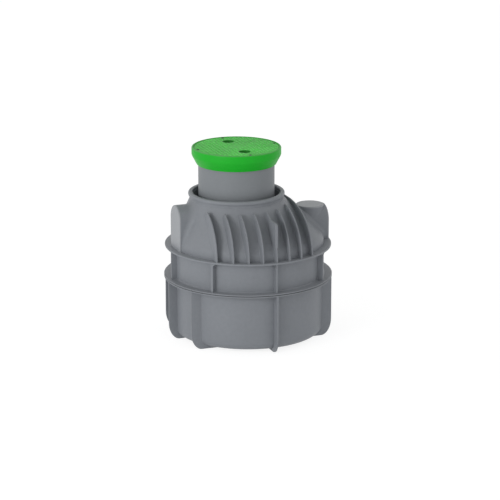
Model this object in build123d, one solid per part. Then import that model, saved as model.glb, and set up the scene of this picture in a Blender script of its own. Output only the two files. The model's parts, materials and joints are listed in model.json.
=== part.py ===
from build123d import *
import math
import os

os.makedirs("parts", exist_ok=True)

# Overall tank, millimetres, Z up, origin on the tank axis at the ground.
# The inlet points along -X, the outlet along +X, and the ribbed front faces -Y.
body_r = 600.0
wall = 10.0
floor_under_z = 20.0
floor_corner_r = 64.0
flange_r = 668.0
flange_t = 9.5
flange_seal_t = 5.0
flange_seal_inset = 8.0
flange_mid_z = 482.0
ring_r = 660.0
ring_t = 14.0
ring_under_z = 725.0

# Dome and neck. The neck stands off the tank axis, so the dome leans towards it.
neck_x = -97.0
knee_z = 790.0
knee_half = 32.0
neck_r = 370.0
neck_join_z = 1112.0
neck_h = 27.0
lip_r = 380.0
lip_bore_r = 345.0
lip_h = 28.0
lip_round = 11.0

# Ribs over the dome
rib_t = 13.0
rib_pitch = 108.0
front_ribs_left = 4
back_ribs_left = 3
ribs_right = 3
rib_base_r = 652.0
rib_crown_r = 428.0
rib_top_z = 1088.0
rib_sections = 9
lug_t = 20.0
lug_reach = 636.0
lug_root_y = 470.0
lug_low_z = 850.0
lug_high_z = 1042.0
lug_round = 24.0
lug_edge_round = 4.0

# Pipe bosses
boss_half = 114.0
inlet_end_x = 608.0
inlet_top_z = 1091.0
outlet_end_x = 648.0
outlet_arch_top_z = 1000.0
pad_top_z = 1003.0
pad_r = 111.0
boss_round = 6.0
pad_round = 5.0

# Fins round the tub and the band
fin_t = 13.0
runner_y = 314.0
foot_round_x = 85.0
foot_round_z = 135.0
band_fin_reach = 644.0
pilaster_t = 18.0
pilaster_angle = 46.0
pilaster_flare = 24.0

# Riser, seal and lid
riser_r = 300.0
riser_low_z = 880.0
riser_top_z = 1500.0
riser_rim_w = 18.0
riser_rim_t = 12.0
seal_gap = 1.0
ledge_t = 12.0
ledge_z = 1052.0
seal_h = 28.0
ledge_gap = 14.0
lid_r = 352.0
lid_top_z = 1525.0
lid_band_h = 60.0
lid_skirt_low_z = 1391.0
lid_skirt_low_r = 313.0
lid_wall = 9.0
lid_plate_t = 12.0
lid_rim_rise = 7.0
cup_r = 47.5
cup_at = 187.0
cup_depth = 42.0
cup_wall = 5.0
screw_at = 318.0
screw_head_r = 11.0
screw_r = 4.0
seat_w = 32.0
locating_gap = 6.0
locating_w = 10.0
locating_h = 30.0

# Heights that follow from the sizes above
tub_flange_z = flange_mid_z - flange_seal_t / 2 - flange_t
flange_seal_z = tub_flange_z + flange_t
shell_flange_z = flange_seal_z + flange_seal_t
band_z = shell_flange_z + flange_t
ring_top_z = ring_under_z + ring_t
lip_z = neck_join_z + neck_h
lip_top_z = lip_z + lip_h


def disc(radius, low, high, x=0.0):
    return Pos(x, 0, (low + high) / 2) * Cylinder(radius, high - low)


def hoop(outer, inner, low, high, x=0.0):
    return disc(outer, low, high, x) - disc(inner, low - 1, high + 1, x)


def turned(face, x=0.0):
    return revolve(face, Axis((x, 0, 0), (0, 0, 1)), 360)


def block(x0, x1, y0, y1, z0, z1):
    centre = Pos((x0 + x1) / 2, (y0 + y1) / 2, (z0 + z1) / 2)
    return centre * Box(x1 - x0, y1 - y0, z1 - z0)


def dome_circle(base_r, top_r, z):
    # Upright at the ring, a soft knee, then straight sides leaning to the neck
    past = min(max(z - knee_z + knee_half, 0), 2 * knee_half)
    rise = past ** 2 / (4 * knee_half) + max(z - knee_z - knee_half, 0)
    share = rise / (neck_join_z - knee_z)
    return Pos(neck_x * share, 0, z) * Circle(base_r - (base_r - top_r) * share)


def dome_body(base_r, top_r):
    low = knee_z - knee_half
    high = knee_z + knee_half
    bend = [low + knee_half * step for step in (0, 0.5, 1, 1.5, 2)]
    foot = loft([dome_circle(base_r, top_r, z) for z in (ring_top_z, low)], ruled=True)
    knee = loft([dome_circle(base_r, top_r, z) for z in bend])
    side = loft([dome_circle(base_r, top_r, z) for z in (high, neck_join_z)], ruled=True)
    return foot + knee + side


def rib_body(base_r, crown_r, low, high):
    # A stack of circles on a round arc, each shifted towards the neck
    fall = base_r - crown_r
    rise = high - low
    arc = (fall ** 2 + rise ** 2) / (2 * fall)
    end = math.asin(rise / arc)
    circles = []
    for i in range(rib_sections):
        angle = end * i / (rib_sections - 1)
        share = (1 - math.cos(angle)) / (1 - math.cos(end))
        place = Pos(neck_x * share, 0, low + arc * math.sin(angle))
        circles.append(place * Circle(base_r - fall * share))
    return loft(circles)


def arch(half, top, low, x0, x1):
    # A tunnel along X with a half-round crown over upright sides
    mid = top - half
    crown = Pos((x0 + x1) / 2, 0, mid) * Rot(0, 90, 0) * Cylinder(half, x1 - x0)
    if mid - half < low:
        crown = crown & block(x0, x1, -half, half, low, top)
    return crown + block(x0, x1, -half, half, low, mid)


def end_plate(half, top, low, x_in, x_out):
    # The closed end of a boss, with its outer edge rounded
    plate = arch(half, top, low, min(x_in, x_out), max(x_in, x_out))
    rim = plate.edges().filter_by(lambda e: abs(e.center().X - x_out) < 0.01)
    rim = rim.filter_by(lambda e: e.center().Z > low + 1)
    return fillet(rim, boss_round)


def only(shape):
    # Each solid of a shape, largest first
    return sorted(shape.solids(), key=lambda s: -s.volume)


def save(shape, node):
    shape.label = node
    export_step(shape, "parts/" + node + ".step")


# Tub
tub_outer = disc(body_r, floor_under_z, tub_flange_z)
tub_outer = fillet(tub_outer.edges().group_by(Axis.Z)[0], floor_corner_r)
tub_inner = disc(body_r - wall, floor_under_z + wall, tub_flange_z + 1)
tub_inner = fillet(tub_inner.edges().group_by(Axis.Z)[0], floor_corner_r - wall)
tub_shell = tub_outer - tub_inner
wall_foot_z = floor_under_z + floor_corner_r
tub_floor = tub_shell & disc(body_r + 1, 0, wall_foot_z)
tub_wall = tub_shell & disc(body_r + 1, wall_foot_z, tub_flange_z)
save(tub_floor, "tub_floor")
save(tub_wall, "tub_wall")

# Joint flanges with the seal between them, and the band above
inner_r = body_r - wall
save(hoop(flange_r, inner_r, tub_flange_z, flange_seal_z), "tub_flange")
seal_r = flange_r - flange_seal_inset
save(hoop(seal_r, inner_r, flange_seal_z, shell_flange_z), "flange_seal")
save(hoop(flange_r, inner_r, shell_flange_z, band_z), "shell_flange")
save(hoop(body_r, inner_r, band_z, ring_under_z), "shell_band")
save(hoop(ring_r, inner_r, ring_under_z, ring_top_z), "stiffening_ring")

# Dome
dome_solid = dome_body(body_r, neck_r)
dome_hollow = dome_body(inner_r, neck_r - 1.25 * wall)
boss_floor_z = ring_top_z + wall
bore_half = boss_half - wall
reach_in = 300.0

inlet_face_x = inlet_end_x - wall
inlet_solid = arch(boss_half, inlet_top_z, ring_top_z, -inlet_face_x, -reach_in)
inlet_bore = arch(bore_half, inlet_top_z - wall, boss_floor_z, -inlet_face_x, -reach_in)

outlet_face_x = outlet_end_x - wall
pad_x = outlet_face_x - pad_r
pad_under_z = pad_top_z - wall
outlet_solid = arch(boss_half, outlet_arch_top_z, ring_top_z, reach_in, outlet_face_x)
outlet_solid = outlet_solid + disc(pad_r, boss_floor_z, pad_under_z, pad_x)
outlet_bore = arch(bore_half, outlet_arch_top_z - wall, boss_floor_z, reach_in, outlet_face_x)
outlet_bore = outlet_bore + disc(pad_r - wall, boss_floor_z, pad_under_z, pad_x)

inlet_cut = arch(bore_half, inlet_top_z - wall, boss_floor_z, -inlet_end_x, -reach_in)
dome = dome_solid - dome_hollow - inlet_cut - outlet_bore
dome = only(dome)[0]
save(dome, "dome")

# Neck: a short upright wall with a rolled lip
save(hoop(neck_r, neck_r - wall, neck_join_z, lip_z, neck_x), "neck")
lip = hoop(lip_r, lip_bore_r, lip_z, lip_top_z, neck_x)
lip_edges = lip.edges().filter_by(GeomType.CIRCLE)
lip_outer = lip_edges.filter_by(lambda e: abs(e.radius - lip_r) < 0.1)
lip = fillet(lip_outer, lip_round)
save(lip, "neck_lip")

# Seal sleeve hung from the lip, holding the riser
sleeve_r = lip_bore_r + (neck_r - wall - lip_bore_r) / 2
seat_bore_r = riser_r + ledge_gap
sleeve = hoop(sleeve_r, lip_bore_r - 4, ledge_z, lip_z, neck_x)
ledge = hoop(sleeve_r, seat_bore_r, ledge_z - ledge_t, ledge_z, neck_x)
save(sleeve + ledge, "seal_seat")
seal_ring = hoop(lip_bore_r - 4, riser_r + seal_gap, ledge_z, ledge_z + seal_h, neck_x)
save(seal_ring, "riser_seal")

# Bosses
inlet_boss = inlet_solid - inlet_bore - dome_solid
save(only(inlet_boss)[0], "inlet_boss")
inlet_face = end_plate(boss_half, inlet_top_z, ring_top_z, -inlet_face_x, -inlet_end_x)
save(inlet_face - dome, "inlet_face")
outlet_pad = disc(pad_r, pad_under_z, pad_top_z, pad_x)
outlet_pad = fillet(outlet_pad.edges().group_by(Axis.Z)[-1], pad_round) - dome_solid
save(only(outlet_pad)[0], "outlet_pad")
outlet_boss = outlet_solid - outlet_bore - dome_solid
outlet_boss = outlet_boss - disc(pad_r, pad_under_z, pad_top_z + 1, pad_x)
save(only(outlet_boss)[0], "outlet_boss")
outlet_face = end_plate(boss_half, outlet_arch_top_z, ring_top_z, outlet_face_x, outlet_end_x)
save(outlet_face - dome_solid, "outlet_face")


def lug_plate(side):
    # A thin lifting plate standing out from the middle rib
    ends = sorted((side * lug_root_y, side * lug_reach))
    plate = block(-lug_t / 2, lug_t / 2, ends[0], ends[1], lug_low_z, lug_high_z)
    corner = plate.edges().filter_by(Axis.X).group_by(Axis.Z)[-1].sort_by(Axis.Y)
    plate = fillet(corner[0] if side < 0 else corner[-1], lug_round)
    rim = plate.edges().filter_by(lambda e: abs(abs(e.center().X) - lug_t / 2) < 0.01)
    rim = rim.filter_by(lambda e: e.center().Z > lug_low_z + 1)
    rim = rim.filter_by(lambda e: abs(e.center().Y) > lug_root_y + 1)
    return fillet(rim, lug_edge_round)


# Ribs in parallel planes, the middle one carrying a lifting lug
rib_shell = rib_body(rib_base_r, rib_crown_r, ring_top_z, rib_top_z) - dome_solid
for side, name, ribs_left in ((-1, "front", front_ribs_left), (1, "back", back_ribs_left)):
    lug = only(lug_plate(side) - dome_solid)[0]
    save(lug, name + "_lug")
    ends = sorted((0, side * (rib_base_r + 10)))
    ribs = []
    for k in range(-ribs_left, ribs_right + 1):
        x = k * rib_pitch
        plate = block(x - rib_t / 2, x + rib_t / 2, ends[0], ends[1], ring_top_z, rib_top_z + 1)
        rib = plate & rib_shell
        if k == 0:
            rib = rib - lug
        ribs += [s for s in rib.solids() if s.volume > 2000]
    print(name, "ribs", len(ribs))
    save(Compound(children=ribs), name + "_ribs")


def plate_profile(reach, top):
    upper = Pos(0, (foot_round_z + top) / 2) * Rectangle(2 * reach, top - foot_round_z)
    inner = reach - foot_round_x
    lower = Pos(0, foot_round_z / 2) * Rectangle(2 * inner, foot_round_z)
    left = Pos(-inner, foot_round_z) * Ellipse(foot_round_x, foot_round_z)
    right = Pos(inner, foot_round_z) * Ellipse(foot_round_x, foot_round_z)
    return upper + lower + left + right


def upright(profile, along_x, at):
    plane = Plane.XZ if along_x else Plane.YZ
    solid = extrude(plane * profile, fin_t / 2, both=True)
    return Pos(0, at, 0) * solid if along_x else Pos(at, 0, 0) * solid


# Runner fins that wrap under the tub and stand on the ground
runner_cut = None
for y, name in ((-runner_y, "front"), (0.0, "middle"), (runner_y, "back")):
    tip = math.sqrt(flange_r ** 2 - y ** 2)
    runner = upright(plate_profile(tip - 2, tub_flange_z), True, y)
    runner = runner - tub_outer
    save(only(runner)[0], "runner_" + name)
    runner_cut = runner if runner_cut is None else runner_cut + runner

cross = upright(plate_profile(flange_r - 2, tub_flange_z), False, 0.0)
cross = cross - tub_outer - runner_cut
save(Compound(children=list(cross.solids())), "cross_fins")

# Short fins and pilasters round the band
band_solid = disc(body_r, band_z, ring_under_z)
fin = block(body_r - 40, band_fin_reach, -fin_t / 2, fin_t / 2, band_z, ring_under_z)
fin = fin - band_solid
fins = [Rot(0, 0, a) * fin for a in (0, 90, 180, 270)]
save(Compound(children=[f.solids()[0] for f in fins]), "band_fins")
post = block(body_r - 40, band_fin_reach, -pilaster_t / 2, pilaster_t / 2, band_z, ring_under_z)
flare = Polyline(
    (body_r - 40, -pilaster_t / 2, ring_under_z - pilaster_flare),
    (body_r - 40, pilaster_t / 2, ring_under_z - pilaster_flare),
    (body_r - 40, pilaster_t / 2 + pilaster_flare, ring_under_z),
    (body_r - 40, -pilaster_t / 2 - pilaster_flare, ring_under_z),
    close=True,
)
post = post + extrude(make_face(flare), band_fin_reach - body_r + 40, dir=(1, 0, 0))
post = post - band_solid
angles = []
for a in (90, 270):
    angles += [a - pilaster_angle, a + pilaster_angle]
posts = [Rot(0, 0, a) * post for a in angles]
save(Compound(children=[p.solids()[0] for p in posts]), "pilasters")

# Riser
riser_bore_r = riser_r - wall
riser_rim_z = riser_top_z - riser_rim_t
save(hoop(riser_r, riser_bore_r, riser_low_z, riser_rim_z, neck_x), "riser_tube")
riser_mouth_r = riser_r - riser_rim_w
save(hoop(riser_r, riser_mouth_r, riser_rim_z, riser_top_z, neck_x), "riser_rim")

# Lid
plate_top_z = lid_top_z - lid_rim_rise
plate_z = plate_top_z - lid_plate_t
band_low_z = lid_top_z - lid_band_h
lid_in = lid_r - lid_wall
outline = Polyline(
    (neck_x + lid_skirt_low_r, 0, lid_skirt_low_z),
    (neck_x + lid_r, 0, band_low_z),
    (neck_x + lid_r, 0, lid_top_z),
    (neck_x + lid_in, 0, lid_top_z),
    (neck_x + lid_in, 0, band_low_z),
    (neck_x + lid_skirt_low_r - lid_wall, 0, lid_skirt_low_z),
    close=True,
)
save(turned(make_face(outline), neck_x), "lid_rim")

plate = disc(lid_in, plate_z, plate_top_z, neck_x)
cups = []
for side in (-1, 1):
    place = Pos(neck_x, side * cup_at, 0)
    plate = plate - place * disc(cup_r, plate_z - 1, plate_top_z + 1)
    cup = disc(cup_r, plate_top_z - cup_depth, plate_top_z)
    cup = cup - disc(cup_r - cup_wall, plate_top_z - cup_depth + cup_wall, plate_top_z + 1)
    cups.append(place * cup)
screws = []
for angle in (0, 90, 180, 270):
    place = Pos(neck_x, 0, 0) * Rot(0, 0, angle) * Pos(screw_at, 0, 0)
    plate = plate - place * disc(screw_r, plate_z - 1, plate_top_z + 1)
    screw = disc(screw_r, plate_z, plate_top_z)
    screw = screw + disc(screw_head_r, plate_top_z, lid_top_z - 0.5)
    screws.append(place * screw)
save(plate, "lid_plate")
save(Compound(children=[c.solids()[0] for c in cups]), "lift_cups")
save(Compound(children=[c.solids()[0] for c in screws]), "lid_screws")

seat_in = riser_mouth_r + locating_gap / 2
save(hoop(seat_in + seat_w, seat_in, riser_top_z, plate_z, neck_x), "lid_seat")
guide_r = riser_mouth_r - locating_gap
guide_low = plate_z - locating_h
save(hoop(guide_r, guide_r - locating_w, guide_low, plate_z, neck_x), "lid_guide")
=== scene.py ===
# %% [markdown]
# # A buried rainwater tank, dressed for its portrait
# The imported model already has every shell, fin and boss at full size. This notebook adds
# what moulding leaves behind: rounded edges, ribs that swell into the wall at their roots, a
# studded lid, rubber in the neck, and plastics with grain, drift of colour and a little dust.

import json
import math

import bmesh
import bpy
from mathutils import Matrix, Vector


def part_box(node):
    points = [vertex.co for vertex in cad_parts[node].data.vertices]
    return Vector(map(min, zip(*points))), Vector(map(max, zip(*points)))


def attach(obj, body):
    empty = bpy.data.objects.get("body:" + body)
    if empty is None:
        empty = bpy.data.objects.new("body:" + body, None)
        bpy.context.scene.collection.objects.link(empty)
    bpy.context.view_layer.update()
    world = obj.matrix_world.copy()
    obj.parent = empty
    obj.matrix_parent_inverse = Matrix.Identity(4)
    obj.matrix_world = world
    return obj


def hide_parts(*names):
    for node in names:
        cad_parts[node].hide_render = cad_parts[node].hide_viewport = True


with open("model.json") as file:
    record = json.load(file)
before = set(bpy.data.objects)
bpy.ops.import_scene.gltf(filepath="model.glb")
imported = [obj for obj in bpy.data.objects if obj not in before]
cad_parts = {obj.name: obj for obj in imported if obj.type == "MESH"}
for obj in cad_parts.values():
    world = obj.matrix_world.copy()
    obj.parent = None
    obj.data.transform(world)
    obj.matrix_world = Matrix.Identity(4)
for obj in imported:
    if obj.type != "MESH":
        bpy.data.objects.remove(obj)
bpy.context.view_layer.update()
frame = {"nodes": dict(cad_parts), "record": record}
print("nodes in the frame:", len(frame["nodes"]))

# %% [markdown]
# ## Sizes read from the frame
# A piece that is measured from the part it sits on can never drift away from it. Round parts
# give a radius and a centre from their box, so the few lines here replace a page of numbers.
# All lengths are metres.

# %% Measure the round parts
MM = 0.001


def low_high(node):
    low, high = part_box(node)
    return Vector(low), Vector(high)


def round_size(node):
    low, high = low_high(node)
    return {"r": (high.x - low.x) / 2, "x": (high.x + low.x) / 2, "low": low.z, "high": high.z}


shell = round_size("dome")
neck = round_size("neck")
lip = round_size("neck_lip")
riser = round_size("riser_tube")
lid = round_size("lid_rim")
wall = round_size("shell_band")["r"]
neck_x = neck["x"]
print("tank radius", round(wall, 3), "neck stands at x", round(neck_x, 3))

# %% [markdown]
# ## Surface effects shared by every plastic
# Moulded plastic is never one flat colour. Its shade drifts softly over a hand's width, the
# mould leaves a fine grain, and dust settles where a surface looks up. Each effect is a node
# group with named inputs, built once and placed in every material with its own values.

# %% Start a node group with named sockets
KIND = {"value": "NodeSocketFloat", "colour": "NodeSocketColor"}


def new_group(name, inputs, outputs):
    group = bpy.data.node_groups.new(name, "ShaderNodeTree")
    for label, kind, value in inputs:
        socket = group.interface.new_socket(name=label, in_out="INPUT", socket_type=KIND[kind])
        socket.default_value = value
    for label, kind in outputs:
        group.interface.new_socket(name=label, in_out="OUTPUT", socket_type=KIND[kind])
    start = group.nodes.new("NodeGroupInput")
    end = group.nodes.new("NodeGroupOutput")
    return group, start.outputs, end.inputs


def add_node(tree, kind, **settings):
    node = tree.nodes.new(kind)
    for key, value in settings.items():
        setattr(node, key, value)
    return node


# %% [markdown]
# ### Colour drift
# Two noises multiply the base colour: a broad one for the slow drift of pigment in the
# melt, and a small one for the cloudy mottling seen close up.

# %% Build the colour drift group
drift_group, drift_in, drift_out = new_group(
    "colour_drift",
    [("Colour", "colour", (0.5, 0.5, 0.5, 1)), ("Amount", "value", 0.1)],
    [("Colour", "colour")],
)
links = drift_group.links
place = add_node(drift_group, "ShaderNodeTexCoord")
broad = add_node(drift_group, "ShaderNodeTexNoise")
broad.inputs["Scale"].default_value = 3.5
broad.inputs["Detail"].default_value = 3
small = add_node(drift_group, "ShaderNodeTexNoise")
small.inputs["Scale"].default_value = 38
small.inputs["Detail"].default_value = 4
both = add_node(drift_group, "ShaderNodeMath", operation="ADD")
centred = add_node(drift_group, "ShaderNodeMath", operation="SUBTRACT")
centred.inputs[1].default_value = 1.0
swing = add_node(drift_group, "ShaderNodeMath", operation="MULTIPLY_ADD")
swing.inputs[2].default_value = 1.0
tinted = add_node(drift_group, "ShaderNodeVectorMath", operation="SCALE")
links.new(place.outputs["Object"], broad.inputs["Vector"])
links.new(place.outputs["Object"], small.inputs["Vector"])
links.new(broad.outputs["Fac"], both.inputs[0])
links.new(small.outputs["Fac"], both.inputs[1])
links.new(both.outputs[0], centred.inputs[0])
links.new(centred.outputs[0], swing.inputs[0])
links.new(drift_in["Amount"], swing.inputs[1])
links.new(drift_in["Colour"], tinted.inputs[0])
links.new(swing.outputs[0], tinted.inputs["Scale"])
links.new(tinted.outputs[0], drift_out["Colour"])
print("group", drift_group.name)

# %% [markdown]
# ### Settled dust
# Dust lies on faces that look up and thins out on the sides. The mask is the upward part of
# the surface normal, broken up by noise, so it clings in patches as on a stored tank.

# %% Build the dust group
dust_group, dust_in, dust_out = new_group(
    "settled_dust", [("Amount", "value", 0.2)], [("Mask", "value")]
)
links = dust_group.links
place = add_node(dust_group, "ShaderNodeTexCoord")
patches = add_node(dust_group, "ShaderNodeTexNoise")
patches.inputs["Scale"].default_value = 9
patches.inputs["Detail"].default_value = 6
patches.inputs["Roughness"].default_value = 0.65
facing = add_node(dust_group, "ShaderNodeNewGeometry")
parts = add_node(dust_group, "ShaderNodeSeparateXYZ")
upward = add_node(dust_group, "ShaderNodeMapRange")
upward.inputs["From Min"].default_value = 0.1
upward.inputs["From Max"].default_value = 1.0
broken = add_node(dust_group, "ShaderNodeMath", operation="MULTIPLY")
amount = add_node(dust_group, "ShaderNodeMath", operation="MULTIPLY", use_clamp=True)
links.new(place.outputs["Object"], patches.inputs["Vector"])
links.new(facing.outputs["Normal"], parts.inputs[0])
links.new(parts.outputs["Z"], upward.inputs["Value"])
links.new(upward.outputs["Result"], broken.inputs[0])
links.new(patches.outputs["Fac"], broken.inputs[1])
links.new(broken.outputs[0], amount.inputs[0])
links.new(dust_in["Amount"], amount.inputs[1])
links.new(amount.outputs[0], dust_out["Mask"])
print("group", dust_group.name)

# %% [markdown]
# ### Mould grain
# A steel mould is spark eroded, and the plastic copies its fine pits. One noise gives the
# pits, and a second one, squeezed in height, gives faint streaks that run round the shell.

# %% Build the grain group
grain_group, grain_in, grain_out = new_group(
    "mould_grain", [("Size", "value", 400.0), ("Flow", "value", 0.3)], [("Height", "value")]
)
links = grain_group.links
place = add_node(grain_group, "ShaderNodeTexCoord")
pits = add_node(grain_group, "ShaderNodeTexNoise")
pits.inputs["Detail"].default_value = 3
stretch = add_node(grain_group, "ShaderNodeMapping")
stretch.inputs["Scale"].default_value = (1.5, 1.5, 26)
streaks = add_node(grain_group, "ShaderNodeTexNoise")
streaks.inputs["Scale"].default_value = 4
streaks.inputs["Detail"].default_value = 3
height = add_node(grain_group, "ShaderNodeMath", operation="MULTIPLY_ADD")
links.new(place.outputs["Object"], pits.inputs["Vector"])
links.new(grain_in["Size"], pits.inputs["Scale"])
links.new(place.outputs["Object"], stretch.inputs["Vector"])
links.new(stretch.outputs[0], streaks.inputs["Vector"])
links.new(streaks.outputs["Fac"], height.inputs[0])
links.new(grain_in["Flow"], height.inputs[1])
links.new(pits.outputs["Fac"], height.inputs[2])
links.new(height.outputs[0], grain_out["Height"])
print("group", grain_group.name)

# %% [markdown]
# ## The finishes
# One recipe serves every plastic and the rubber: drifted colour, dust mixed over it, a
# roughness that the dust raises, and a bump from the grain. Constants sit directly on the
# shader's own sockets, and only what changes over the surface comes through a link. The
# flat end faces and the outlet's pad take a lighter grey than the shell: painted light for
# the strong light and reflection on them. They are most likely the same plastic.

# %% A recipe for moulded surfaces
DUST = (0.44, 0.43, 0.40, 1)
DUST_ROUGHNESS = 0.95
BUMP_STRENGTH = 0.5


def moulded(name, colour, roughness, drift, dust, grain, depth, flow=0.3, gloss=0.5):
    material = bpy.data.materials.new(name)
    material.use_nodes = True
    tree = material.node_tree
    shader = tree.nodes["Principled BSDF"]
    shader.inputs["Specular IOR Level"].default_value = gloss
    tint = add_node(tree, "ShaderNodeGroup", node_tree=drift_group)
    tint.inputs["Colour"].default_value = (*colour, 1)
    tint.inputs["Amount"].default_value = drift
    settled = add_node(tree, "ShaderNodeGroup", node_tree=dust_group)
    settled.inputs["Amount"].default_value = dust
    dusty = add_node(tree, "ShaderNodeMix", data_type="RGBA")
    dusty.inputs["B"].default_value = DUST
    matt = add_node(tree, "ShaderNodeMapRange")
    matt.inputs["To Min"].default_value = roughness
    matt.inputs["To Max"].default_value = DUST_ROUGHNESS
    texture = add_node(tree, "ShaderNodeGroup", node_tree=grain_group)
    texture.inputs["Size"].default_value = grain
    texture.inputs["Flow"].default_value = flow
    bump = add_node(tree, "ShaderNodeBump")
    bump.inputs["Strength"].default_value = BUMP_STRENGTH
    bump.inputs["Distance"].default_value = depth
    links = tree.links
    links.new(settled.outputs["Mask"], dusty.inputs["Factor"])
    links.new(tint.outputs["Colour"], dusty.inputs["A"])
    links.new(dusty.outputs["Result"], shader.inputs["Base Color"])
    links.new(settled.outputs["Mask"], matt.inputs["Value"])
    links.new(matt.outputs["Result"], shader.inputs["Roughness"])
    links.new(texture.outputs["Height"], bump.inputs["Height"])
    links.new(bump.outputs["Normal"], shader.inputs["Normal"])
    return material


tank_grey = moulded("tank_grey", (0.230, 0.244, 0.266), roughness=0.48, drift=0.12,
                    dust=0.10, grain=420, depth=0.5 * MM, gloss=0.25)
# Painted light: a lighter copy of the shell's grey for the flat end faces and the outlet's pad.
painted_light_grey = moulded("painted_light_grey", (0.290, 0.304, 0.324), roughness=0.44, drift=0.10,
                    dust=0.10, grain=480, depth=0.3 * MM)
riser_grey = moulded("riser_grey", (0.222, 0.237, 0.252), roughness=0.50, drift=0.07,
                     dust=0.08, grain=500, depth=0.3 * MM, flow=0.5, gloss=0.2)
lid_green = moulded("lid_green", (0.010, 0.430, 0.020), roughness=0.46, drift=0.08,
                    dust=0.40, grain=460, depth=0.4 * MM, gloss=0.2)
tread_green = moulded("tread_green", (0.045, 0.520, 0.040), roughness=0.55, drift=1.10,
                      dust=0.08, grain=120, depth=0.8 * MM, gloss=0.3)
stud_green = moulded("stud_green", (0.090, 0.640, 0.085), roughness=0.45, drift=0.80,
                     dust=0.04, grain=300, depth=0.3 * MM, gloss=0.3)
# Painted shade: a dark copy of the lid's green for the groove round the tread sheet and the
# lifting cups.
painted_shade_green = moulded("painted_shade_green", (0.020, 0.240, 0.024), roughness=0.60, drift=0.12,
                    dust=0.02, grain=460, depth=0.4 * MM, gloss=0.2)
seal_black = moulded("seal_black", (0.030, 0.030, 0.032), roughness=0.62, drift=0.20,
                     dust=0.10, grain=700, depth=0.2 * MM)
print("plastics and rubber:", [m.name for m in (tank_grey, riser_grey, lid_green, seal_black)])

# %% [markdown]
# ### Screw steel
# The lid's screws are blackened steel: metallic, dark, with turning marks as a fine noise
# squeezed along the height.

# %% Make the screw steel
screw_steel = bpy.data.materials.new("screw_steel")
screw_steel.use_nodes = True
tree = screw_steel.node_tree
shader = tree.nodes["Principled BSDF"]
shader.inputs["Metallic"].default_value = 1.0
shader.inputs["Roughness"].default_value = 0.6
tint = add_node(tree, "ShaderNodeGroup", node_tree=drift_group)
tint.inputs["Colour"].default_value = (0.045, 0.055, 0.045, 1)
tint.inputs["Amount"].default_value = 0.25
texture = add_node(tree, "ShaderNodeGroup", node_tree=grain_group)
texture.inputs["Size"].default_value = 900
texture.inputs["Flow"].default_value = 0.8
bump = add_node(tree, "ShaderNodeBump")
bump.inputs["Distance"].default_value = 0.1 * MM
tree.links.new(tint.outputs["Colour"], shader.inputs["Base Color"])
tree.links.new(texture.outputs["Height"], bump.inputs["Height"])
tree.links.new(bump.outputs["Normal"], shader.inputs["Normal"])
print("made", screw_steel.name)

# %% [markdown]
# ### Finish for each CAD node
# Nodes whose shape is right already stay as they are and only take a finish, by the slot
# that the record gives them. The lid's plate takes the darkest green: painted shade, because
# it only shows in the shaded groove inside the rim.

# %% Dress the CAD nodes
finish_of = {
    "tank_plastic": tank_grey,
    "riser_plastic": riser_grey,
    "lid_plastic": lid_green,
    "seal_rubber": seal_black,
    "screw_steel": screw_steel,
}


def dress(node, material):
    for slot in frame["nodes"][node].material_slots:
        slot.material = material


for entry in frame["record"]["subparts"]:
    dress(entry["node"], finish_of[entry["material_slot"]])
# The plate only shows in the groove inside the rim, so it takes the painted shade green.
dress("lid_plate", painted_shade_green)
# The flat end faces and the outlet's pad take the lighter grey, painted light.
for name in ("inlet_face", "outlet_face", "outlet_pad"):
    dress(name, painted_light_grey)

# %% [markdown]
# ## Helpers for the modelled pieces
# `place_piece` turns a finished bmesh into an object at the origin, smooth except at true
# edges, and ties it to the body it moves with. `turned` spins a profile of radius and height
# round an upright axis; a corner with a third number is rounded by a vertex bevel first.

# %% Finish a mesh and tie it to its body
MERGE = 0.02 * MM
SHARP_FROM = math.radians(32)


def to_scene(name, data):
    thing = bpy.data.objects.new(name, data)
    bpy.context.scene.collection.objects.link(thing)
    return thing


def place_piece(bm, name, body, material, stands_for=()):
    bmesh.ops.remove_doubles(bm, verts=bm.verts, dist=MERGE)
    bmesh.ops.recalc_face_normals(bm, faces=bm.faces)
    mesh = bpy.data.meshes.new(name)
    bm.to_mesh(mesh)
    bm.free()
    mesh.materials.append(material)
    mesh.shade_smooth()
    mesh.set_sharp_from_angle(angle=SHARP_FROM)
    piece = to_scene(name, mesh)
    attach(piece, body)
    if stands_for:
        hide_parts(*stands_for)
    print(name, "faces:", len(mesh.polygons))
    return piece


# %% Spin a profile into a round piece
def turned(profile, x, steps=160):
    bm = bmesh.new()
    corners = [bm.verts.new((x + point[0], 0, point[1])) for point in profile]
    for first, second in zip(corners, corners[1:] + corners[:1]):
        bm.edges.new((first, second))
    rounded = [(v, p[2]) for v, p in zip(corners, profile) if len(p) > 2]
    for corner, size in rounded:
        bmesh.ops.bevel(bm, geom=[corner], offset=size, offset_type="OFFSET", segments=4,
                        profile=0.5, affect="VERTICES", material=-1)
    bmesh.ops.spin(bm, geom=bm.verts[:] + bm.edges[:], cent=(x, 0, 0), axis=(0, 0, 1),
                   angle=2 * math.pi, steps=steps, use_merge=True)
    return bm


# %% [markdown]
# ## Flanges and the stiffening ring
# The two halves of the tank meet in a pair of flanges with a dark seal between, and a third
# ring stiffens the foot of the dome. A plain box section would look sawn. The moulded one
# has rounded outer edges and small fillets where it grows out of the wall. The profile starts
# inside the wall and ends a hair short of the solid's radius, to stay inside its box.

# %% Model the two flanges and the ring
ROUND = 3 * MM
FILLET = 9 * MM
FILLET_BEND = FILLET * 0.6
IN_WALL = 8 * MM
BOX_MARGIN = 0.2 * MM


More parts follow.
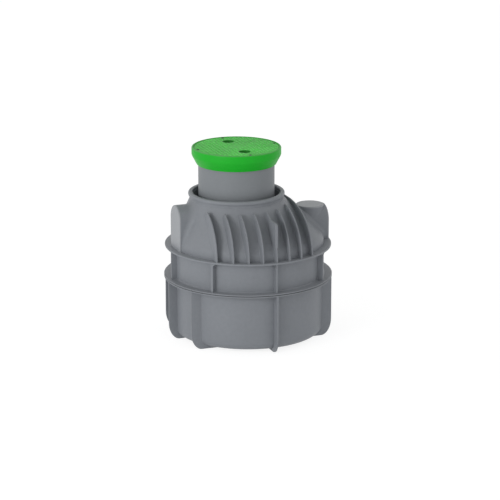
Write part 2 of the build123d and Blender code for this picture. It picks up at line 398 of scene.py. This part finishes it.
def flange(name, node, fillet_low, fillet_high):
    size = round_size(node)
    inner = wall - IN_WALL
    outer = size["r"] - BOX_MARGIN
    profile = [(inner, size["low"])]
    if fillet_low:
        profile = [(inner, size["low"] - FILLET), (wall, size["low"] - FILLET),
                   (wall + FILLET, size["low"], FILLET_BEND)]
    profile += [(outer, size["low"], ROUND), (outer, size["high"], ROUND)]
    if fillet_high:
        profile += [(wall + FILLET, size["high"], FILLET_BEND), (wall, size["high"] + FILLET),
                    (inner, size["high"] + FILLET)]
    else:
        profile += [(inner, size["high"])]
    return place_piece(turned(profile, 0), name, "tank", tank_grey, [node])


flange("lower_flange", "tub_flange", True, False)
flange("upper_flange", "shell_flange", False, True)
flange("foot_ring", "stiffening_ring", True, False)

# %% [markdown]
# ## Ribs over the dome
# The dome is a stack of circles that shrink and slide towards the neck as they climb: upright
# at the ring, then a soft knee, then straight sides. The ribs stand in parallel planes, and
# their crests follow a round arc above it, so they are deepest half way up the dome. Their
# tips meet the wall a little below the neck, lower towards the inlet. Points on the wall are
# found by halving a span again and again.

# %% Describe the wall and the crest line
KNEE_Z = 790 * MM
KNEE_HALF = 32 * MM
rib_low, rib_high = low_high("front_ribs")
CREST_LOW_R = wall + 52 * MM
CREST_TOP_R = 428 * MM
TIP_FALL = 14 * MM
TIP_FALL_LEAST = 2 * MM
TIP_LEAN = 0.055
WALL_REACH = 60 * MM


def wall_circle(z):
    past = min(max(z - KNEE_Z + KNEE_HALF, 0), 2 * KNEE_HALF)
    rise = past ** 2 / (4 * KNEE_HALF) + max(z - KNEE_Z - KNEE_HALF, 0)
    share = rise / (shell["high"] - KNEE_Z)
    return neck_x * share, wall - (wall - neck["r"]) * share


def wall_y(x, z):
    centre, radius = wall_circle(z)
    return math.sqrt(max(radius ** 2 - (x - centre) ** 2, 0))


def to_wall(point, out, halvings=20):
    low, high = -WALL_REACH, WALL_REACH
    for _ in range(halvings):
        middle = (low + high) / 2
        spot = point + out * middle
        centre, radius = wall_circle(spot.z)
        if math.hypot(spot.x - centre, spot.y) < radius:
            low = middle
        else:
            high = middle
    return low


def root_line(x, steps=120, halvings=30):
    low, high = KNEE_Z, rib_high.z
    if wall_y(x, high) > 0:
        high -= max(TIP_FALL - TIP_LEAN * x, TIP_FALL_LEAST)
    else:
        for _ in range(halvings):
            middle = (low + high) / 2
            low, high = (middle, high) if wall_y(x, middle) > 0 else (low, middle)
    heights = [rib_low.z + (high - rib_low.z) * i / steps for i in range(steps + 1)]
    return [Vector((x, wall_y(x, z), z)) for z in heights]


def crest_line(x, end, steps=60):
    fall = CREST_LOW_R - CREST_TOP_R
    rise = rib_high.z - rib_low.z
    arc = (fall ** 2 + rise ** 2) / (2 * fall)
    turn = math.asin(rise / arc)
    line = []
    for i in range(steps + 1):
        lean = (1 - math.cos(turn * i / steps)) / (1 - math.cos(turn))
        radius = CREST_LOW_R - fall * lean
        y = math.sqrt(max(radius ** 2 - (x - neck_x * lean) ** 2, 0))
        line.append(Vector((x, y, rib_low.z + arc * math.sin(turn * i / steps))))
    meets_twin = end.y < 1 * MM
    line.append(Vector((x, end.y, rib_high.z if meets_twin else end.z + 2 * MM)))
    return line


def along(line, share):
    lengths = [(b - a).length for a, b in zip(line, line[1:])]
    left = sum(lengths) * share
    for a, b, length in zip(line, line[1:], lengths):
        if left <= length:
            return a.lerp(b, left / max(length, 1e-9))
        left -= length
    return line[-1]


print("ribs rise from", round(rib_low.z, 3), "to", round(rib_high.z, 3))

# %% [markdown]
# ### One rib, section by section
# A section runs from a root on the wall out to the crest. It spreads at the foot and is
# rounded at the crest, as a moulded rib is. Each foot is carried down to the wall under it,
# because the wall slopes away sideways, and starts a little under it, so no gap opens. A rib
# that crosses the ridge of the dome meets its twin from the other side there.

# %% Build a rib from bridged sections
RIB_T = 13 * MM
RIB_STATIONS = 34
RIB_LEAST_DEPTH = 2 * MM
SPREAD = 6 * MM
CREST = 4 * MM
FOOT_SUNK = 5 * MM


def rib_section(root, crest, side):
    depth = max((crest - root).length, RIB_LEAST_DEPTH)
    out = (crest - root).normalized() if crest != root else Vector((0, 0, 1))
    half = RIB_T / 2
    spread_up = min(SPREAD, depth * 0.3)
    crest_down = min(CREST, depth * 0.4)
    outline = [(half + SPREAD, -FOOT_SUNK), (half + SPREAD, 0),
               (half + SPREAD * 0.35, spread_up * 0.3), (half + SPREAD * 0.08, spread_up),
               (half - 0.8 * MM, depth - crest_down),
               (half - 2 * MM, depth - crest_down * 0.3), (half - CREST, depth)]
    points = []
    for turn, row in ((1, outline), (-1, outline[::-1])):
        for wide, up in row:
            foot = root + Vector((turn * wide, 0, 0))
            fade = 1 - min(max(up / depth, 0), 1)
            points.append(foot + out * (up + to_wall(foot, out) * fade))
    return [Vector((p.x, p.y * side, p.z)) for p in points]


def add_rib(bm, x, side):
    roots = root_line(x)
    crests = crest_line(x, roots[-1])
    loops = []
    for i in range(RIB_STATIONS):
        share = i / (RIB_STATIONS - 1)
        section = rib_section(along(roots, share), along(crests, share), side)
        corners = [bm.verts.new(p) for p in section]
        ends = corners[1:] + corners[:1]
        loops.append([bm.edges.new(pair) for pair in zip(corners, ends)])
    for lower, upper in zip(loops, loops[1:]):
        bmesh.ops.bridge_loops(bm, edges=lower + upper)
    bmesh.ops.holes_fill(bm, edges=loops[0] + loops[-1], sides=0)


# %% Set the ribs along both sides
# The box of each row tells where its leftmost rib stands. Rib 0 is on the tank's axis.
RIB_PITCH = 108 * MM
LAST_RIB = 3
for side, name in ((-1, "front"), (1, "back")):
    bm = bmesh.new()
    first = round(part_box(name + "_ribs")[0][0] / RIB_PITCH)
    for k in range(first, LAST_RIB + 1):
        add_rib(bm, k * RIB_PITCH, side)
    place_piece(bm, name + "_dome_ribs", "tank", tank_grey, [name + "_ribs"])

# %% [markdown]
# ## Soft roots of the two bosses
# Each pipe boss is a tunnel with a round crown that runs into the sloping dome. The mould
# leaves a wide hollow blend where the two meet. The seam is found by sending each point of
# the tunnel's outline inwards to the wall; from there one leg runs out along the tunnel and
# one along the dome, and a curve joins their ends. A boss that is shorter than the leg takes
# most of its own length instead.

# %% Blend the bosses into the dome
ROOT_LEG = 48 * MM
ROOT_SHARE = 0.8
ROOT_STEPS = 8
SUNK = 0.4 * MM
PROBE = 0.5 * MM


def past_wall(point):
    centre, radius = wall_circle(point.z)
    return math.hypot(point.x - centre, point.y) - radius


def wall_normal(point):
    rise = [past_wall(point + step) - past_wall(point - step)
            for step in (Vector((PROBE, 0, 0)), Vector((0, PROBE, 0)), Vector((0, 0, PROBE)))]
    return Vector(rise).normalized()


def tunnel_outline(half, top, low, rows=12, bends=40):
    middle = top - half
    rising = [(half, low + (middle - low) * i / rows, 0.0) for i in range(rows)]
    crown = [(half * math.cos(a), middle + half * math.sin(a), a)
             for a in (math.pi * i / bends for i in range(bends + 1))]
    falling = [(-half, z, math.pi) for _, z, _ in reversed(rising)]
    return rising + crown + falling


def blend_boss(node, piece, side):
    low, high = low_high(node)
    end_x = high.x if side > 0 else low.x
    bm = bmesh.new()
    loops = []
    for y, z, turn in tunnel_outline(high.y, high.z, low.z - 2 * MM):
        centre, radius = wall_circle(z)
        seam = Vector((centre + side * math.sqrt(radius ** 2 - y ** 2), y, z))
        out = Vector((0, math.cos(turn), math.sin(turn)))
        normal = wall_normal(seam)
        leg = min(ROOT_LEG, abs(end_x - seam.x) * ROOT_SHARE)
        on_tunnel = seam + Vector((side * leg, 0, 0)) - out * SUNK
        on_dome = seam + (out - normal * out.dot(normal)).normalized() * ROOT_LEG
        on_dome -= normal * (past_wall(on_dome) + SUNK)
        section = []
        for i in range(ROOT_STEPS + 1):
            u = i / ROOT_STEPS
            section.append(on_tunnel * (1 - u) ** 2 + seam * 2 * u * (1 - u) + on_dome * u ** 2)
        section.append(seam - (out + normal) * 2 * MM)
        corners = [bm.verts.new(p) for p in section]
        loops.append([bm.edges.new(pair) for pair in zip(corners, corners[1:] + corners[:1])])
    for first, second in zip(loops, loops[1:]):
        bmesh.ops.bridge_loops(bm, edges=first + second)
    bmesh.ops.holes_fill(bm, edges=loops[0] + loops[-1], sides=0)
    place_piece(bm, piece, "tank", tank_grey)


blend_boss("inlet_boss", "inlet_root", -1)
blend_boss("outlet_boss", "outlet_root", 1)

# %% [markdown]
# ## Neck and lip
# The dome runs up to a short upright neck that ends in a thin rolled lip. One profile holds
# both, spun round the neck's own axis, with the rounding put on before the spin.

# %% Spin the neck and its lip
LIP_BORE = 345 * MM
NECK_WALL = 10 * MM
neck_profile = [
    (neck["r"] - NECK_WALL, neck["low"]),
    (neck["r"], neck["low"]),
    (neck["r"], lip["low"], 5 * MM),
    (lip["r"], lip["low"], 6 * MM),
    (lip["r"], lip["high"], 13 * MM),
    (LIP_BORE, lip["high"], 9 * MM),
    (LIP_BORE, lip["low"], 2 * MM),
    (neck["r"] - NECK_WALL, lip["low"]),
]
place_piece(turned(neck_profile, neck_x), "neck_and_lip", "tank", tank_grey,
            ["neck", "neck_lip"])

# %% [markdown]
# ## Rubber seal in the neck
# The riser slides in a ribbed rubber ring. Three soft lips reach towards the riser and stop
# just short of it, so the joint can slide without the meshes cutting each other.

# %% Spin the lipped seal
SEAL_LIPS = 3
SEAL_GAP = 1 * MM
LIP_REACH = 12 * MM
seal = round_size("riser_seal")
seal_inner = riser["r"] + SEAL_GAP
step = (seal["high"] - seal["low"]) / SEAL_LIPS
seal_profile = [(seal["r"], seal["low"]), (seal["r"], seal["high"])]
for k in reversed(range(SEAL_LIPS)):
    base = seal["low"] + k * step
    seal_profile += [(seal_inner + LIP_REACH, base + step * 0.98),
                     (seal_inner, base + step * 0.7, 1.5 * MM),
                     (seal_inner + LIP_REACH, base + step * 0.2)]
place_piece(turned(seal_profile, neck_x), "seal_with_lips", "tank", seal_black,
            ["riser_seal"])

# %% [markdown]
# ## Lid
# The green lid is a dish with a rim, a short upright band and a cone that narrows to the
# riser. The rim is folded a little way over the plate, and its wide round shoulder catches
# the light from above.

# %% Spin the lid's rim and cone
RIM_FOLD = 6 * MM
BAND_H = 60 * MM
CONE_LOW_R = 313 * MM
plate = round_size("lid_plate")
lid_wall = lid["r"] - plate["r"]
rim_inner = plate["r"] - RIM_FOLD
band_low = lid["high"] - BAND_H
rim_profile = [
    (CONE_LOW_R, lid["low"], 2 * MM),
    (lid["r"], band_low, 7 * MM),
    (lid["r"], lid["high"], 10 * MM),
    (rim_inner, lid["high"], 1.5 * MM),
    (rim_inner, plate["high"]),
    (plate["r"] - 1 * MM, plate["high"] - 1 * MM),
    (plate["r"] - 1 * MM, band_low, 4 * MM),
    (CONE_LOW_R - lid_wall, lid["low"], 2 * MM),
]
place_piece(turned(rim_profile, neck_x), "lid_rim_and_cone", "lid", lid_green,
            ["lid_rim"])

# %% [markdown]
# ### Tread sheet
# A thin sheet lies on the plate, smaller than the rim, so a groove runs round it, dark with
# the plate's painted shade. Its outline and the two holes for the lifting cups are filled as
# one flat face, and pulling that face down gives the sheet its thickness.

# %% Lay the tread sheet
GROOVE = 5 * MM
SHEET_T = 3.5 * MM
SHEET_STEPS = 160
CUP_STEPS = 64
cup_low, cup_high = low_high("lift_cups")
cup_r = (cup_high.x - cup_low.x) / 2
cup_at = cup_high.y - cup_r
sheet_r = rim_inner - GROOVE
sheet_high = plate["high"] + SHEET_T
bm = bmesh.new()
for y, radius, steps in ((0, sheet_r, SHEET_STEPS), (cup_at, cup_r, CUP_STEPS),
                         (-cup_at, cup_r, CUP_STEPS)):
    bmesh.ops.create_circle(bm, segments=steps, radius=radius,
                            matrix=Matrix.Translation((neck_x, y, sheet_high)))
bmesh.ops.triangle_fill(bm, edges=bm.edges[:], normal=(0, 0, 1), use_beauty=True)
pulled = bmesh.ops.extrude_face_region(bm, geom=bm.faces[:])["geom"]
bmesh.ops.translate(bm, verts=[g for g in pulled if isinstance(g, bmesh.types.BMVert)],
                    vec=(0, 0, -SHEET_T))
print("open edges of the sheet:", sum(not e.is_manifold for e in bm.edges))
place_piece(bm, "tread_sheet", "lid", tread_green)

# %% [markdown]
# ### Anti-slip studs
# People walk on the lid, so it carries rows of low studs. Each is a four-sided frustum of a
# few faces on a square grid, with its corners along the rows. The studs keep clear of the
# rim, the two lifting cups, the screws and a plain round field in the middle.

# %% Stud the tread sheet
SCREW_AT = 318 * MM
STUD_PITCH = 30 * MM
STUD_R = 11 * MM
STUD_SUNK = 0.2 * MM
BELOW_RIM = 0.5 * MM
CLEAR_OF_CUP = 12 * MM
CLEAR_OF_EDGE = 14 * MM
SCREW_FIELD = 26 * MM
MIDDLE_FIELD = 62 * MM
stud_h = lid["high"] - sheet_high - BELOW_RIM
screw_spots = [(SCREW_AT * math.cos(angle), SCREW_AT * math.sin(angle))
               for angle in (quarter * math.pi / 2 for quarter in range(4))]
plain_spots = [(0, cup_at, cup_r + CLEAR_OF_CUP), (0, -cup_at, cup_r + CLEAR_OF_CUP),
               (0, 0, MIDDLE_FIELD)]
plain_spots += [(x, y, SCREW_FIELD) for x, y in screw_spots]


def is_tread(x, y):
    if math.hypot(x, y) > sheet_r - CLEAR_OF_EDGE:
        return False
    return all(math.hypot(x - sx, y - sy) > clear for sx, sy, clear in plain_spots)


bm = bmesh.new()
reach = int(plate["r"] / STUD_PITCH) + 1
for i in range(-reach, reach + 1):
    for j in range(-reach, reach + 1):
        x = i * STUD_PITCH
        y = j * STUD_PITCH
        if not is_tread(x, y):
            continue
        spot = Matrix.Translation((neck_x + x, y, sheet_high + stud_h / 2 - STUD_SUNK))
        bmesh.ops.create_cone(bm, cap_ends=True, segments=4, radius1=STUD_R,
                              radius2=STUD_R * 0.7, depth=stud_h, matrix=spot)
place_piece(bm, "lid_studs", "lid", stud_green)

# %% [markdown]
# ### Lifting cups
# Two round cups let a hand or a key reach under a bar and lift the lid. The cup is a spun
# dish with a rounded floor, and the bar across it is a box with every edge bevelled. Cups
# and bars take the dark green, painted shade for the deep hollow.

# %% Spin the cups and lay their bars
CUP_T = 5 * MM
CUP_LIP = 1 * MM
BAR_WIDE = 12 * MM
BAR_HIGH = 9 * MM
BAR_DROP = 12 * MM
cup_floor = cup_low.z
cup_top = sheet_high + CUP_LIP
cup_profile = [
    (0, cup_floor), (cup_r, cup_floor, 3 * MM), (cup_r, cup_top, 1 * MM),
    (cup_r - CUP_T, cup_top, 1 * MM), (cup_r - CUP_T, cup_floor + CUP_T, 5 * MM),
    (0, cup_floor + CUP_T),
]
# The cups and their bars take the painted shade green for their deep hollows.
bars = bmesh.new()
for side, name in ((-1, "lift_cup_front"), (1, "lift_cup_back")):
    cup = turned(cup_profile, 0, steps=CUP_STEPS)
    bmesh.ops.translate(cup, verts=cup.verts, vec=(neck_x, side * cup_at, 0))
    place_piece(cup, name, "lid", painted_shade_green, ["lift_cups"])
    spot = Matrix.Translation((neck_x, side * cup_at, cup_high.z - BAR_DROP))
    shape = Matrix.Diagonal((2 * cup_r - CUP_T, BAR_WIDE, BAR_HIGH, 1))
    bmesh.ops.create_cube(bars, size=1, matrix=spot @ shape)
bmesh.ops.bevel(bars, geom=bars.edges[:], offset=2 * MM, segments=3, profile=0.5,
                affect="EDGES", material=-1)
place_piece(bars, "lift_bars", "lid", painted_shade_green)

# %% [markdown]
# ### Screws
# Four screws hold the lid down. Each head is a low round frustum, and its socket is made by
# insetting the top face and pushing it in.

# %% Make the four screws
HEAD_R = 11 * MM
HEAD_TAPER = 0.78
SOCKET_EDGE = HEAD_R * 0.38
SOCKET_DEEP = 2 * MM
HEAD_SUNK = 0.5 * MM
head_low = sheet_high - HEAD_SUNK
head_high = lid["high"] - BELOW_RIM
bm = bmesh.new()
for x, y in screw_spots:
    spot = Matrix.Translation((neck_x + x, y, (head_low + head_high) / 2))
    made = bmesh.ops.create_cone(bm, cap_ends=True, segments=24, radius1=HEAD_R,
                                 radius2=HEAD_R * HEAD_TAPER, depth=head_high - head_low,
                                 matrix=spot)
    head_faces = [face for v in made["verts"] for face in v.link_faces]
    top = max(head_faces, key=lambda face: face.calc_center_median().z)
    bmesh.ops.inset_region(bm, faces=[top], thickness=SOCKET_EDGE)
    bmesh.ops.translate(bm, verts=top.verts, vec=(0, 0, -SOCKET_DEEP))
place_piece(bm, "lid_screw_heads", "lid", screw_steel, ["lid_screws"])

# %% [markdown]
# ## Floor, light and camera
# The photograph is a studio picture on white. One large soft lamp stands low, to the left of
# the camera, and the white surroundings fill the rest. The floor has two looks. To the camera
# and in reflections it glows nearly white over a grey paper that only takes faint shadows.
# For light that bounces up on to the tank it's white paper with a weak glow of its own, whose
# level was set by comparing the undersides with the photograph.

# %% Lay the floor
FLOOR_HALF = 60
PAPER = 0.92
SHADOW_PAPER = 0.30
GLOW_SEEN = 0.84
GLOW_BOUNCED = 0.14


def grey(level):
    return (level, level, level, 1)


floor_mesh = bpy.data.meshes.new("studio_floor")
bm = bmesh.new()
bmesh.ops.create_grid(bm, x_segments=1, y_segments=1, size=FLOOR_HALF)
bm.to_mesh(floor_mesh)
bm.free()
floor = to_scene("studio_floor", floor_mesh)
floor_white = bpy.data.materials.new("studio_floor_white")
floor_white.use_nodes = True
tree = floor_white.node_tree
tree.nodes.remove(tree.nodes["Principled BSDF"])
paper = add_node(tree, "ShaderNodeBsdfDiffuse")
paper.inputs["Color"].default_value = grey(PAPER)
shadow_paper = add_node(tree, "ShaderNodeBsdfDiffuse")
shadow_paper.inputs["Color"].default_value = grey(SHADOW_PAPER)
glow = add_node(tree, "ShaderNodeEmission")
glow.inputs["Strength"].default_value = GLOW_SEEN
seen = add_node(tree, "ShaderNodeAddShader")
ray = add_node(tree, "ShaderNodeLightPath")
looked_at = add_node(tree, "ShaderNodeMath", operation="MAXIMUM")
choose = add_node(tree, "ShaderNodeMixShader")
lit_from_under = add_node(tree, "ShaderNodeEmission")
lit_from_under.inputs["Strength"].default_value = GLOW_BOUNCED
bounce = add_node(tree, "ShaderNodeAddShader")
links = tree.links
links.new(paper.outputs[0], bounce.inputs[0])
links.new(lit_from_under.outputs[0], bounce.inputs[1])
links.new(shadow_paper.outputs[0], seen.inputs[0])
links.new(glow.outputs[0], seen.inputs[1])
links.new(ray.outputs["Is Camera Ray"], looked_at.inputs[0])
links.new(ray.outputs["Is Glossy Ray"], looked_at.inputs[1])
links.new(looked_at.outputs[0], choose.inputs[0])
links.new(bounce.outputs[0], choose.inputs[1])
links.new(seen.outputs[0], choose.inputs[2])
links.new(choose.outputs[0], tree.nodes["Material Output"].inputs["Surface"])
floor_mesh.materials.append(floor_white)
print("floor laid at z = 0")

# %% [markdown]
# ### Surroundings
# The studio's walls are brighter than its ceiling: the dome's slopes look no lighter in the
# photograph than the upright walls, so less light may come from straight above. The level
# falls with the height of the direction that a ray leaves in. Seen directly, in a reflection
# or through something, the surroundings are plain white.

# %% Fill the world with soft white
FILL_WALLS = 0.84
FILL_CEILING = 0.46
world = bpy.data.worlds.new("studio_world")
world.use_nodes = True
bpy.context.scene.world = world
tree = world.node_tree
sky = tree.nodes["Background"]
sky.inputs["Color"].default_value = (1, 1, 1, 1)
ray = add_node(tree, "ShaderNodeLightPath")
mirror = add_node(tree, "ShaderNodeMath", operation="MAXIMUM")
open_rays = add_node(tree, "ShaderNodeMath", operation="MAXIMUM")
direction = add_node(tree, "ShaderNodeTexCoord")
parts = add_node(tree, "ShaderNodeSeparateXYZ")
fill = add_node(tree, "ShaderNodeMapRange")
fill.inputs["To Min"].default_value = FILL_WALLS
fill.inputs["To Max"].default_value = FILL_CEILING
level = add_node(tree, "ShaderNodeMapRange")
level.inputs["To Max"].default_value = 1.0
tree.links.new(direction.outputs["Generated"], parts.inputs[0])
tree.links.new(parts.outputs["Z"], fill.inputs["Value"])
tree.links.new(fill.outputs["Result"], level.inputs["To Min"])
tree.links.new(ray.outputs["Is Glossy Ray"], mirror.inputs[0])
tree.links.new(ray.outputs["Is Transmission Ray"], mirror.inputs[1])
tree.links.new(mirror.outputs[0], open_rays.inputs[0])
tree.links.new(ray.outputs["Is Camera Ray"], open_rays.inputs[1])
tree.links.new(open_rays.outputs[0], level.inputs["Value"])
tree.links.new(level.outputs["Result"], sky.inputs["Strength"])
bpy.context.scene.view_settings.view_transform = "Standard"
print("fill light from", FILL_WALLS, "to", FILL_CEILING)

# %% [markdown]
# ### Key lamp
# The shading on the round wall tells where the lamp stood: far round to the left, so the wall
# falls off slowly to the right. An area lamp aims at mid height. `way_to` turns an angle round
# the tank and one above the floor into a direction, and `face` stands a thing some way off in
# that direction, looking back.

# %% Hang the key lamp
AIM = Vector((0.0, 0.0, 0.67))
LAMP_TURN = math.radians(62)
LAMP_RISE = math.radians(17)
LAMP_AWAY = 8.0
LAMP_SIZE = 2.6
LAMP_POWER = 150


def way_to(turn, rise):
    return Vector((-math.sin(turn) * math.cos(rise), -math.cos(turn) * math.cos(rise),
                   math.sin(rise)))


def face(thing, target, way, distance):
    thing.location = target + way * distance
    thing.rotation_euler = (-way).to_track_quat("-Z", "Y").to_euler()


lamp_data = bpy.data.lights.new("key_lamp", "AREA")
lamp_data.shape = "DISK"
lamp_data.size = LAMP_SIZE
lamp_data.energy = LAMP_POWER
lamp = to_scene("key_lamp", lamp_data)
face(lamp, AIM, way_to(LAMP_TURN, LAMP_RISE), LAMP_AWAY)
print("lamp at", [round(c, 2) for c in lamp.location])

# %% [markdown]
# ### Camera
# A long lens from far off keeps the rims nearly parallel, as in the photograph. The tank's
# axis sits two pixels left of the picture's centre, so the aim is moved that much sideways.

# %% Aim the camera
CAMERA_TURN = math.radians(20.4)
CAMERA_RISE = math.radians(15.8)
CAMERA_AWAY = 17.44
SIDE_STEP = 0.016
camera_data = bpy.data.cameras.new("portrait_camera")
camera_data.lens = 158
camera_data.sensor_width = 36
camera_data.clip_end = 200
camera = to_scene("portrait_camera", camera_data)
sideways = Vector((math.cos(CAMERA_TURN), -math.sin(CAMERA_TURN), 0))
face(camera, AIM + sideways * SIDE_STEP, way_to(CAMERA_TURN, CAMERA_RISE), CAMERA_AWAY)
bpy.context.scene.camera = camera
print("camera at", [round(c, 2) for c in camera.location])
